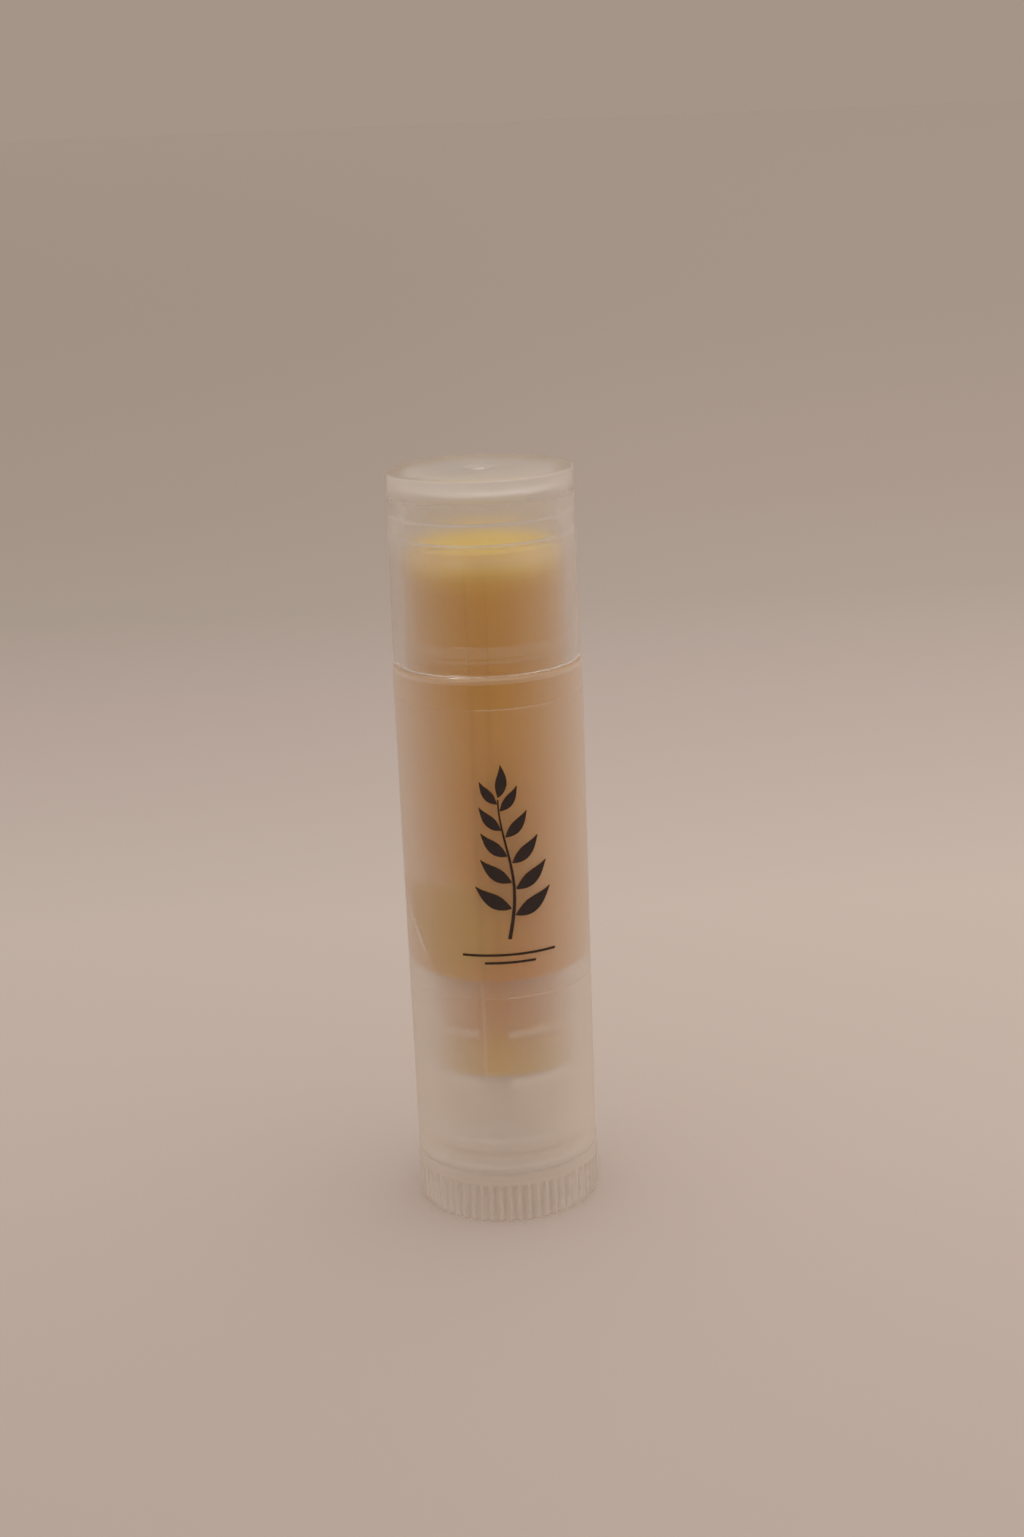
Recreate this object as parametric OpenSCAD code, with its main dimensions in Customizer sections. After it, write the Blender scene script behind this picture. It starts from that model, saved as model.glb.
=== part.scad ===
// Lip balm stick: a screw-up tube of natural polypropylene with a push-on cap.
// It stands on its dial at z = 0 with its axis on Z, and the labelled side faces -Y.

/* [Barrel] */
// Outer diameter of the barrel at its shoulder
barrel_d = 16.1; // [15.7:0.1:19]
// How far the barrel's radius shrinks from its shoulder to its lower end
barrel_taper = 0.1; // [0:0.05:0.15]
// Length of the barrel from its lower end to the shoulder
barrel_len = 44.1; // [38:0.1:60]
// Wall of the barrel beside the bore that holds the balm
barrel_wall = 1.95; // [1.6:0.05:2.3]
// Length of the neck above the shoulder
neck_len = 10.6; // [8:0.1:16]
// Wall of the neck beside the bore
neck_wall = 0.6; // [0.5:0.05:0.75]
// Width of each guide rib in the bore
rib_w = 1.6; // [0.8:0.1:2]
// Height of each guide rib above the bore's wall
rib_h = 0.45; // [0.3:0.05:0.6]

/* [Cap] */
// Free height between the neck's rim and the underside of the cap's top
headroom = 4.6; // [4:0.1:10]
// Thickness of the cap's top
cap_top_t = 1.1; // [0.8:0.1:2]
// How far the cap's radius shrinks from its mouth to its top
cap_taper = 0.22; // [0:0.02:0.4]
// Radial clearance between the neck and the cap's inside
cap_fit = 0.2; // [0.18:0.01:0.3]

/* [Dial] */
// Height of the fluted wheel under the barrel
wheel_h = 4.5; // [4:0.1:7]
// How far the fluted wheel stands out past the barrel's lower end
wheel_proud = 0.1; // [0:0.05:0.4]
// Number of flutes around the wheel
flute_count = 60; // [30:2:72]
// Height of the fluted band from the floor
flute_len = 3.5; // [2:0.1:3.8]
// Depth of each flute
flute_depth = 0.22; // [0.1:0.02:0.35]

/* [Screw] */
// Diameter over the crests of the screw's thread
screw_d = 5; // [4.4:0.1:5.4]
// Depth of the thread from crest to root
thread_depth = 0.8; // [0.4:0.1:1]
// Rise of the elevator for one turn of the dial
lead = 4; // [3:0.5:8]
// Number of thread starts
starts = 2; // [1:1:3]

/* [Elevator] */
// Depth of the elevator's cup above its floor
cup_depth = 9; // [5:0.1:12]
// Wall of the elevator's cup between its slide rings
cup_wall = 0.6; // [0.4:0.05:0.8]
// Thickness of the elevator's floor
floor_t = 0.9; // [0.6:0.1:1.5]
// Length of the nut below the floor
nut_len = 3.6; // [2.5:0.1:6]

/* [Balm] */
// How far the crown of the balm lies below the neck's rim
crown_drop = 0.25; // [0:0.05:2]

/* [Label] */
// Height of the clear label
label_h = 25.4; // [15:0.1:30]
// Distance from the shoulder down to the label's top edge
label_drop = 2.4; // [1:0.1:4]
// Thickness of the label film
label_t = 0.1; // [0.05:0.01:0.2]
// Angle between the label's two ends at the back
label_gap = 6; // [2:1:20]

/* [Hidden] */
$fn = 96;

// Clearances and small sizes that several pieces share
turn_gap = 0.1;
seat_gap = 0.1;
slide_fit = 0.08;
cast_fit = 0.05;
cast_seat = 0.02;
thread_fit = 0.15;
glue_gap = 0.01;
overrun = 0.5;
edge_r = 0.3;
shoulder_edge = 0.12;
edge_steps = 4;

// Heights of the main faces on the standing stick
barrel_z = wheel_h + turn_gap;
shoulder_z = barrel_z + barrel_len;
rim_z = shoulder_z + neck_len;
mouth_z = shoulder_z + seat_gap;
cap_under_z = rim_z + headroom;
total_h = cap_under_z + cap_top_t;

// Radii of the main faces
barrel_r = barrel_d / 2;
bore_r = barrel_r - barrel_wall;
neck_r = bore_r + neck_wall;
cap_in_r = neck_r + cap_fit;
wheel_r = barrel_r - barrel_taper + wheel_proud;

// Lip of the neck's rim, which is turned down and chamfered
lip_h = 1.2;
lip_in = 0.15;
lip_chamfer = 0.15;

// Snap bead round the foot of the neck, and the groove in the cap that takes it
bead_out = 0.14;
bead_h = 1.1;
bead_lift = 1.3;
groove_margin = 0.15;
groove_deep = 0.12;

// Cap: setback of the mouth from the barrel's side, the ledges inside, and the gate mark on top
cap_setback = 0.06;
rim_gap = 0.3;
ledge_in = 0.25;
ledge_h = 1.65;
corner_h = 0.85;
corner_in = 0.85;
mouth_chamfer = 0.2;
dimple_d = 2.6;
dimple_deep = 0.22;
gate_d = 0.9;
gate_h = 0.14;

// Guide ribs: turned a little to the left of the label's middle
rib_turn = -7;
rib_start = 0.5;
rib_stop = 1.5;
rib_count = 2;
rib_side_fit = 0.45;

// Dial: shell, foot recess, and the boss that snaps into the barrel
wheel_wall = 1.1;
wheel_floor = 1.2;
foot_w = 1.6;
foot_deep = 0.4;
foot_gate_d = 2.4;
boss_wall = 0.9;
boss_len = 3.9;
boss_fit = 0.1;
snap_out = 0.22;
snap_lift = 1.7;
snap_h = 0.9;
snap_fit = 0.1;
flute_land_share = 0.22;
wheel_edge = 0.25;

// Heights of the screw and the elevator at the bottom of its travel
boss_top_z = wheel_h + boss_len;
nut_z = boss_top_z + seat_gap;
floor_z = nut_z + nut_len;
cup_z = floor_z + floor_t;
cup_rim_z = cup_z + cup_depth;
nut_inside = 2;
nut_top_z = cup_z + nut_inside;
rim_margin = 1.3;
travel = rim_z - rim_margin - cup_rim_z;
thread_z = boss_top_z;
tip_engage = 5.5;
screw_top_z = nut_z + travel + tip_engage;

// Screw thread
screw_r = screw_d / 2;
thread_points = 20;
thread_steps = 16;
collar_out = 0.2;

// Elevator rings, nut and slots
nut_wall = 1.2;
nut_r = screw_r + thread_fit + nut_wall;
ring_h = 0.7;
mid_ring_h = 0.5;
mid_ring_lift = 3.6;
ring_r = bore_r - slide_fit;
ring_out = 0.17;
cup_r = ring_r - ring_out;
cup_in_r = cup_r - cup_wall;
slot_w = rib_w + 2 * rib_side_fit;
slot_in_r = bore_r - rib_h - rib_side_fit;

// Balm: the stick in the bore, the plug in the cup, and the hole left by the screw
balm_r = bore_r - cast_fit;
plug_r = cup_in_r - cast_seat;
hole_r = screw_r + thread_fit;
hole_end = 0.6;
crown_edge = 0.9;
crown_steps = 8;
groove_w = rib_w + 2 * cast_fit;

// Label: where it sits on the barrel
label_top_z = shoulder_z - label_drop;
label_z = label_top_z - label_h;
label_back = 90;

// The barrel's outer radius at a height
function barrel_r_at(z) = barrel_r - barrel_taper * (shoulder_z - z) / barrel_len;

// Points of an arc about c with radius r, from angle a to angle b
function arc(c, r, a, b, steps) =
    [for (i = [0:steps]) c + r * [cos(a + (b - a) * i / steps), sin(a + (b - a) * i / steps)]];

// Cross-section of the thread: lobes that swell from the root to the crest
function thread_section(grow) =
    [for (i = [0:thread_points - 1])
        let (a = 360 * i / thread_points)
        let (r = screw_r + grow - thread_depth * (1 - cos(starts * a)) / 2)
        r * [cos(a), sin(a)]];

// A left-hand thread between two heights, in phase with every other stretch of the same screw
module thread(z0, z1, grow) {
    turn = 360 * (z1 - z0) / lead;
    translate([0, 0, z0])
        rotate(-360 * (z0 - thread_z) / lead)
            linear_extrude(
                height = z1 - z0,
                twist = turn,
                slices = ceil(thread_steps * (z1 - z0) / lead),
                segments = thread_points)
                polygon(thread_section(grow));
}

// A ring-shaped solid of revolution between two radii and two heights
module ring(r0, r1, z0, z1) {
    rotate_extrude()
        polygon([[r0, z0], [r1, z0], [r1, z1], [r0, z1]]);
}

// Bars along the guide ribs, from radius r0 outwards
module rib_bars(r0, r1, w, z0, z1) {
    for (i = [0:rib_count - 1])
        rotate(rib_turn - 90 + 360 * i / rib_count)
            translate([r0, -w / 2, z0])
                cube([r1 - r0, w, z1 - z0]);
}

module cap_outside() {
    cap_r0 = barrel_r - cap_setback;
    cap_r1 = cap_r0 - cap_taper;
    rotate_extrude()
        polygon(concat(
            [[0, mouth_z], [cap_r0, mouth_z]],
            arc([cap_r1 - edge_r, total_h - edge_r], edge_r, 0, 90, edge_steps),
            [[0, total_h]]));
}

module cap_inside() {
    ledge_r1 = cap_in_r - ledge_in;
    ledge_r2 = ledge_r1 - ledge_in;
    ledge_z1 = rim_z + rim_gap;
    ledge_z2 = ledge_z1 + ledge_h;
    corner_z = cap_under_z - corner_h;
    groove_z0 = shoulder_z + bead_lift - groove_margin;
    groove_z1 = shoulder_z + bead_lift + bead_h + groove_margin;
    rotate_extrude()
        polygon([
            [0, mouth_z - overrun],
            [cap_in_r + mouth_chamfer, mouth_z - overrun],
            [cap_in_r + mouth_chamfer, mouth_z],
            [cap_in_r, mouth_z + mouth_chamfer],
            [cap_in_r, groove_z0],
            [cap_in_r + groove_deep, groove_z0 + groove_margin],
            [cap_in_r + groove_deep, groove_z1 - groove_margin],
            [cap_in_r, groove_z1],
            [cap_in_r, ledge_z1],
            [ledge_r1, ledge_z1],
            [ledge_r1, ledge_z2],
            [ledge_r2, ledge_z2],
            [ledge_r2, corner_z],
            [ledge_r2 - corner_in, cap_under_z],
            [0, cap_under_z]]);
}

module cap() {
    color([0.86, 0.84, 0.82, 0.5])
        union() {
            difference() {
                cap_outside();
                cap_inside();
                translate([0, 0, total_h - dimple_deep])
                    cylinder(d = dimple_d, h = dimple_deep + overrun);
            }
            translate([0, 0, total_h - dimple_deep])
                cylinder(d = gate_d, h = gate_h);
        }
}

module barrel_outside() {
    bead_z = shoulder_z + bead_lift;
    bead_r = neck_r + bead_out;
    lip_r = neck_r - lip_in;
    rotate_extrude()
        polygon([
            [0, barrel_z],
            [barrel_r_at(barrel_z), barrel_z],
            [barrel_r, shoulder_z - shoulder_edge],
            [barrel_r - shoulder_edge, shoulder_z],
            [neck_r, shoulder_z],
            [neck_r, bead_z],
            [bead_r, bead_z + bead_h / 3],
            [bead_r, bead_z + 2 * bead_h / 3],
            [neck_r, bead_z + bead_h],
            [neck_r, rim_z - lip_h],
            [lip_r, rim_z - lip_h],
            [lip_r, rim_z - lip_chamfer],
            [lip_r - lip_chamfer, rim_z],
            [0, rim_z]]);
}

// Groove round the lower end of the bore that holds the dial's snap ring
module snap_groove() {
    snap_r = bore_r + snap_out + snap_fit;
    snap_z = wheel_h + snap_lift;
    rotate_extrude()
        polygon([
            [bore_r - overrun, snap_z - snap_fit - snap_out],
            [bore_r, snap_z - snap_fit - snap_out],
            [snap_r, snap_z - snap_fit],
            [snap_r, snap_z + snap_h + snap_fit],
            [bore_r - overrun, snap_z + snap_h + snap_fit]]);
}

module barrel() {
    color([0.86, 0.84, 0.82, 0.5])
        union() {
            difference() {
                barrel_outside();
                translate([0, 0, barrel_z - overrun])
                    cylinder(r = bore_r, h = rim_z - barrel_z + 2 * overrun);
                snap_groove();
            }
            intersection() {
                rib_bars(bore_r - rib_h, bore_r + neck_wall / 2, rib_w, boss_top_z + rib_start, rim_z - rib_stop);
                translate([0, 0, barrel_z])
                    cylinder(r = bore_r + neck_wall / 3, h = rim_z - barrel_z);
            }
        }
}

module label() {
    color([0.92, 0.9, 0.88, 0.25])
        rotate(label_back + label_gap / 2)
            rotate_extrude(angle = 360 - label_gap)
                polygon([
                    [barrel_r_at(label_z) + glue_gap, label_z],
                    [barrel_r_at(label_z) + glue_gap + label_t, label_z],
                    [barrel_r_at(label_top_z) + glue_gap + label_t, label_top_z],
                    [barrel_r_at(label_top_z) + glue_gap, label_top_z]]);
}

module elevator() {
    mid_z = cup_z + mid_ring_lift;
    color([0.88, 0.86, 0.83, 0.5])
        difference() {
            rotate_extrude()
                polygon([
                    [0, nut_z],
                    [nut_r, nut_z],
                    [nut_r, floor_z],
                    [ring_r, floor_z],
                    [ring_r, floor_z + ring_h],
                    [cup_r, floor_z + ring_h + ring_out],
                    [cup_r, mid_z],
                    [ring_r, mid_z + ring_out],
                    [ring_r, mid_z + ring_out + mid_ring_h],
                    [cup_r, mid_z + 2 * ring_out + mid_ring_h],
                    [cup_r, cup_rim_z - ring_h - ring_out],
                    [ring_r, cup_rim_z - ring_h],
                    [ring_r, cup_rim_z],
                    [cup_in_r, cup_rim_z],
                    [cup_in_r, cup_z],
                    [nut_r, cup_z],
                    [nut_r, nut_top_z],
                    [0, nut_top_z]]);
            rib_bars(slot_in_r, bore_r + overrun, slot_w, floor_z - overrun, cup_z);
            rib_bars(nut_r + cast_fit, bore_r + overrun, slot_w, cup_z, cup_rim_z + overrun);
            thread(nut_z - overrun, nut_top_z + overrun, thread_fit);
        }
}

module balm() {
    plug_z = cup_z + cast_seat;
    stick_z = cup_rim_z + cast_seat;
    top_z = rim_z - crown_drop;
    color([0.93, 0.75, 0.33])
        difference() {
            rotate_extrude()
                polygon(concat(
                    [[0, plug_z], [plug_r, plug_z], [plug_r, stick_z], [balm_r, stick_z]],
                    [for (i = [0:crown_steps])
                        let (a = 90 * i / crown_steps)
                        [balm_r - crown_edge * (1 - cos(a)), top_z - crown_edge / 2 * (1 - sin(a))]],
                    [[0, top_z]]));
            translate([0, 0, plug_z - overrun])
                cylinder(r = hole_r, h = screw_top_z + hole_end - plug_z + overrun);
            translate([0, 0, plug_z - overrun])
                cylinder(r = nut_r + cast_fit, h = nut_top_z + cast_seat - plug_z + overrun);
            rib_bars(bore_r - rib_h - cast_fit, bore_r + overrun, groove_w, stick_z - overrun,
                rim_z - rib_stop + cast_fit);
        }
}

// Fluted band: grooves cut by small upright cylinders, with narrow lands between them
module flutes() {
    pitch = 2 * PI * wheel_r / flute_count;
    half_w = pitch * (1 - flute_land_share) / 2;
    flute_r = (half_w * half_w + flute_depth * flute_depth) / (2 * flute_depth);
    for (i = [0:flute_count - 1])
        rotate(360 * i / flute_count)
            translate([wheel_r + flute_r - flute_depth, 0, -overrun])
                cylinder(r = flute_r, h = flute_len + overrun, $fn = 32);
}

module dial_shell() {
    boss_r = bore_r - boss_fit;
    snap_r = bore_r + snap_out;
    snap_z = wheel_h + snap_lift;
    rotate_extrude()
        polygon([
            [0, foot_deep],
            [wheel_r - foot_w, foot_deep],
            [wheel_r - foot_w + wheel_edge, 0],
            [wheel_r - wheel_edge, 0],
            [wheel_r, wheel_edge],
            [wheel_r, wheel_h],
            [wheel_r - wheel_wall, wheel_h],
            [wheel_r - wheel_wall, foot_deep + wheel_floor],
            [boss_r - boss_wall / 3, foot_deep + wheel_floor],
            [boss_r - boss_wall / 3, wheel_h - wheel_edge],
            [boss_r, wheel_h],
            [boss_r, snap_z - snap_out - boss_fit],
            [snap_r, snap_z],
            [snap_r, snap_z + snap_h / 2],
            [boss_r, snap_z + snap_h],
            [boss_r, boss_top_z - wheel_edge],
            [boss_r - wheel_edge, boss_top_z],
            [boss_r - boss_wall, boss_top_z],
            [boss_r - boss_wall, foot_deep + wheel_floor],
            [screw_r + collar_out, foot_deep + wheel_floor],
            [screw_r + collar_out, thread_z],
            [0, thread_z]]);
}

module dial_screw() {
    color([0.86, 0.84, 0.82, 0.5])
        difference() {
            union() {
                dial_shell();
                thread(thread_z - overrun, screw_top_z, 0);
            }
            flutes();
            translate([0, 0, -overrun])
                cylinder(d = foot_gate_d, h = foot_deep + foot_deep / 2 + overrun);
        }
}

cap();
barrel();
label();
elevator();
balm();
dial_screw();
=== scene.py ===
"""A screw-up lip balm stick in a natural polypropylene tube, standing on a pale paper sweep."""
import math

import bmesh
import bpy
from mathutils import Matrix, Vector


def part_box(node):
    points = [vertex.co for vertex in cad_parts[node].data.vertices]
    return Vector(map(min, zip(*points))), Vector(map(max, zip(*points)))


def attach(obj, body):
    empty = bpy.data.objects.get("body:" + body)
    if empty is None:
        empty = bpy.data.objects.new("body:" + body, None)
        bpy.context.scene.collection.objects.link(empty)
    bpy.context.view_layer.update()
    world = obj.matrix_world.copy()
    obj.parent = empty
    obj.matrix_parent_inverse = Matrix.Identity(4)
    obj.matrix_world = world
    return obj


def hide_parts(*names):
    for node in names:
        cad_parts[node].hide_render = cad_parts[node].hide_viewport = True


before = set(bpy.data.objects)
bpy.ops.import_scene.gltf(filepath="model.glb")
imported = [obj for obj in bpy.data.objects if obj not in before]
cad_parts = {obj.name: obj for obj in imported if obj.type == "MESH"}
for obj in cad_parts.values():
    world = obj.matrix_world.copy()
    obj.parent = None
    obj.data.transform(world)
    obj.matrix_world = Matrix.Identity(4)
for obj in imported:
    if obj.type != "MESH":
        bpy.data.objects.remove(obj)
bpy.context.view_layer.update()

# Metres in a millimetre: sizes below are in millimetres
MM = 0.001

# Heights and radii that come from the frame
cap_low, cap_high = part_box("cap")
barrel_low, barrel_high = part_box("barrel")
label_low, label_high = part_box("label")
elevator_low, elevator_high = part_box("elevator")
balm_low, balm_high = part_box("balm")
dial_low, dial_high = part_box("dial_screw")
MOUTH_Z = cap_low[2] / MM
TOP_Z = cap_high[2] / MM
BARREL_Z = barrel_low[2] / MM
RIM_Z = barrel_high[2] / MM
BARREL_R = barrel_high[0] / MM
LABEL_Z = label_low[2] / MM
LABEL_TOP_Z = label_high[2] / MM
CUP_RIM_Z = elevator_high[2] / MM
RING_R = elevator_high[0] / MM
BALM_TOP_Z = balm_high[2] / MM
SCREW_TOP_Z = dial_high[2] / MM

# Pieces that bear on each other reach a hair into each other, so that no air shows between them
TIGHT = 0.02
# Sizes that differ by less than this count as the same
SLACK = 0.01

# Walls, fits and steps of the mouldings: first the barrel
BARREL_TAPER = 0.1
BARREL_EDGE_ROUND = 0.08
FOOT_EDGE = 0.05
BORE_R = 6.1
BORE_CHAMFER = 0.15
NECK_R = 6.7
NECK_LIP_H = 1.2
NECK_LIP_IN = 0.15
# The two low snap beads on the neck and the step over them, as (out, up) from the neck and the shoulder
BEADS = ((0, 1.0), (0.09, 1.12), (0.09, 1.22), (0.02, 1.36), (0.02, 1.5), (0.12, 1.64), (0.12, 1.74),
         (0.07, 1.86), (0.07, 2.4), (0, 2.5))
SHOULDER_Z = MOUTH_Z + TIGHT
SHOULDER_EDGE = 0.35
SHOULDER_STEPS = 5
RIB_H = 0.45
RIB_W = 1.6
RIB_TURN = math.radians(-97)
RIB_START = 8.9
RIB_STOP = 1.5
RIB_END = 0.1

# The cap, whose mouth slopes up to its outer edge, with a gate mark in a dimple on top
CAP_IN_R = 6.9
CAP_TOP_T = 1.1
CAP_SETBACK = 0.06
CAP_TAPER = 0.22
CAP_EDGE_ROUND = 0.22
MOUTH_CHAMFER = 0.2
MOUTH_SLOPE = 0.15
DIMPLE_R = 1.5
DIMPLE_FLOOR_R = 1.0
DIMPLE_DEEP = 0.1
GATE_R = 0.5
GATE_DEEP = 0.12
GATE_TIP_R = 0.3
GATE_TIP_DEEP = 0.01
LEDGE_IN = 0.25
LEDGE_STEP = 0.09
LEDGE_RUN = 0.18
LEDGE_H = 1.65
RIM_GAP = 0.3
CORNER_H = 0.6
CORNER_IN = 0.85
CORNER_STEPS = 6

# The dial: its wheel, its boss with the snap ring, and its screw
WHEEL_H = 4.5
WHEEL_R = 8.05
WHEEL_WALL = 1.7
WHEEL_BEVEL_H = 0.4
WHEEL_FLOOR = 1.2
WHEEL_EDGE_ROUND = 0.06
FOOT_W = 1.6
FOOT_DEEP = 0.4
FOOT_SLOPE = 0.1
FOOT_CHAMFER_IN = 0.15
FOOT_CHAMFER_H = 0.2
FLUTES = 60
FLUTE_LEN = 3.5
FLUTE_DEEP = 0.2
FLUTE_RUN_OUT = 0.12
FLUTE_LAND_SHARE = 0.22
BOSS_R = 6.0
BOSS_WALL = 0.9
BOSS_LEN = 3.9
BOSS_UNDERCUT = 0.3
BOSS_CHAMFER = 0.25
SNAP_OUT = 0.2
SNAP_LIFT = 1.7
SNAP_H = 0.9
SNAP_CLEAR = 0.1
SNAP_SLOPE = 0.3
SCREW_R = 2.5
SCREW_SUNK = 0.1
THREAD_DEEP = 0.8
LEAD = 4.0
STARTS = 2

# The elevator's cup, the wax, the label and its ink
CUP_IN_R = 5.25
CUP_FLOOR_Z = 13.0
LABEL_T = 0.1
LABEL_OFF = 0.01
# The wax is cast against the bore
BALM_R = BORE_R + TIGHT
BALM_EDGE_IN = 0.45
BALM_EDGE_H = 0.3
BALM_EDGE_STEPS = 8
# Where the wax keeps clear of the elevator's nut and of the screw
NUT_CLEAR_R = 3.95
NUT_TOP_Z = 15.02
SCREW_CLEAR = 0.15
SCREW_END_CLEAR = 0.6
# The grooves that the guide ribs leave in the wax are drawn shallow, and run out above this height,
# so that no shade shows in them
GROOVE_DEEP = 0.12
GROOVE_FADE_Z = SHOULDER_Z - 3
# How far the ink stands proud of the film, drawn thicker than it is so that it shows, and how deep it is sunk
INK_PROUD = 0.03
INK_SUNK = 0.01

# The label's crease lies in the plane that faces this way, this far from the stick's foot
CREASE_FACES = Vector((0.941, 0, 0.3385))
CREASE_OFF = 2.278

# Widths of the fine patterns: flow marks in the plastic, patches and grain in the wax, blotches in the ink
FLOW_MARK_W = 1.2
WAX_PATCH_W = 9
WAX_GRAIN_W = 0.4
INK_BLOTCH_W = 0.5

# How finely the round pieces are cut
COLUMNS = 256
FLUTE_COLUMNS = 12
EDGE_STEPS = 3
ON_AXIS = 0.001
SHARP = math.radians(34)


def turned(name, outline, columns=COLUMNS, radius_at=None, extra_angles=()):
    """Turns a closed outline of (radius, height) pairs round the axis into a solid."""
    angles = [math.tau * i / columns for i in range(columns)]
    angles = sorted(angles + [a % math.tau for a in extra_angles])
    work = bmesh.new()
    rings = []
    for radius, height in outline:
        if radius < ON_AXIS:
            rings.append([work.verts.new((0, 0, height * MM))])
            continue
        ring = []
        for angle in angles:
            r = radius_at(radius, height, angle) if radius_at else radius
            ring.append(work.verts.new((r * math.cos(angle) * MM, r * math.sin(angle) * MM, height * MM)))
        rings.append(ring)
    for near, far in zip(rings, rings[1:] + rings[:1]):
        if len(near) == 1 and len(far) == 1:
            continue
        for i in range(len(angles)):
            j = (i + 1) % len(angles)
            corners = [near[i % len(near)], near[j % len(near)], far[j % len(far)], far[i % len(far)]]
            work.faces.new(list(dict.fromkeys(corners)))
    return finished(name, work)


def finished(name, work):
    """Turns a bmesh into an object with smooth curves and crisp corners."""
    bmesh.ops.recalc_face_normals(work, faces=work.faces)
    mesh = bpy.data.meshes.new(name)
    work.to_mesh(mesh)
    work.free()
    for face in mesh.polygons:
        face.use_smooth = True
    mesh.set_sharp_from_angle(angle=SHARP)
    piece = bpy.data.objects.new(name, mesh)
    bpy.context.scene.collection.objects.link(piece)
    return piece


def rounded(outline, radius):
    """Rounds each corner of a closed outline, by less where a side is short."""
    points = [Vector(p) for p in outline]
    result = []
    for i, corner in enumerate(points):
        before = points[i - 1] - corner
        after = points[(i + 1) % len(points)] - corner
        if corner.x < ON_AXIS:
            result.append(tuple(corner))
            continue
        reach = min(radius, before.length * 0.45, after.length * 0.45)
        start = corner + before.normalized() * reach
        end = corner + after.normalized() * reach
        for step in range(EDGE_STEPS + 1):
            t = step / EDGE_STEPS
            near = start.lerp(corner, t)
            far = corner.lerp(end, t)
            result.append(tuple(near.lerp(far, t)))
    return result


def angle_apart(a, b):
    """The smallest angle between two directions."""
    return abs((a - b + math.pi) % math.tau - math.pi)


def dressed(piece, body, node, material):
    """Gives a piece its body, the CAD node that it stands for and its material."""
    piece.data.materials.append(material)
    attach(piece, body)
    if node:
        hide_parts(node)
    return piece


def linear(code):
    """An sRGB hex colour as a linear colour with an alpha of one."""
    parts = [int(code[i:i + 2], 16) / 255 for i in (0, 2, 4)]
    return tuple(p / 12.92 if p <= 0.04045 else ((p + 0.055) / 1.055) ** 2.4 for p in parts) + (1.0,)


def new_material(name):
    """An empty node material and its node tree."""
    material = bpy.data.materials.new(name)
    material.use_nodes = True
    material.node_tree.nodes.clear()
    return material, material.node_tree


def add(tree, kind, inputs=None, **settings):
    """Adds a node with its settings, and its inputs as values or as links from other sockets."""
    made = tree.nodes.new(kind)
    for name, value in settings.items():
        setattr(made, name, value)
    for name, value in (inputs or {}).items():
        if isinstance(value, bpy.types.NodeSocket):
            tree.links.new(value, made.inputs[name])
        else:
            made.inputs[name].default_value = value
    return made


def stops(ramp, *pairs):
    """Sets a colour ramp's stops from (position, hex colour) pairs."""
    elements = ramp.color_ramp.elements
    while len(elements) < len(pairs):
        elements.new(1.0)
    for element, (position, code) in zip(elements, pairs):
        element.position = position
        element.color = linear(code)


def product(tree, first, *others):
    """The product of several value sockets."""
    for other in others:
        first = add(tree, "ShaderNodeMath", {0: first, 1: other}, operation="MULTIPLY").outputs[0]
    return first


def mapped(tree, value, low, high, at_low, at_high, soft=False):
    """A value that goes from one level to another as its source goes from low to high."""
    return add(tree, "ShaderNodeMapRange", {
        "Value": value, "From Min": low, "From Max": high, "To Min": at_low, "To Max": at_high},
        interpolation_type="SMOOTHSTEP" if soft else "LINEAR").outputs["Result"]


def off_crease(tree, place):
    """How far a point lies from the slanting plane of the label's crease: above zero to the right of it."""
    along = add(tree, "ShaderNodeVectorMath", {
        0: place.outputs["Object"], 1: CREASE_FACES}, operation="DOT_PRODUCT")
    off = add(tree, "ShaderNodeMath", {
        0: along.outputs["Value"], 1: CREASE_OFF * MM}, operation="SUBTRACT")
    return off.outputs[0]


def in_patch(tree, place):
    """How far a point lies in the largest patch where the wax clings to the bore, low on the left."""
    middle = Vector((-4.4, -4.4, 26.6))
    core_r = 2.4
    edge_r = 7.2
    full_z = 30.3
    top_z = 31.2
    off = add(tree, "ShaderNodeVectorMath", {
        0: place.outputs["Object"], 1: middle * MM}, operation="DISTANCE")
    height = add(tree, "ShaderNodeSeparateXYZ", {"Vector": place.outputs["Object"]})
    # The patch is faint to the left of the label's crease
    return product(
        tree,
        mapped(tree, off.outputs["Value"], edge_r * MM, core_r * MM, 0.0, 1.0, soft=True),
        mapped(tree, height.outputs["Z"], top_z * MM, full_z * MM, 0.0, 1.0, soft=True),
        mapped(tree, off_crease(tree, place), -0.1 * MM, 0.6 * MM, 0.3, 1.0, soft=True))


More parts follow.
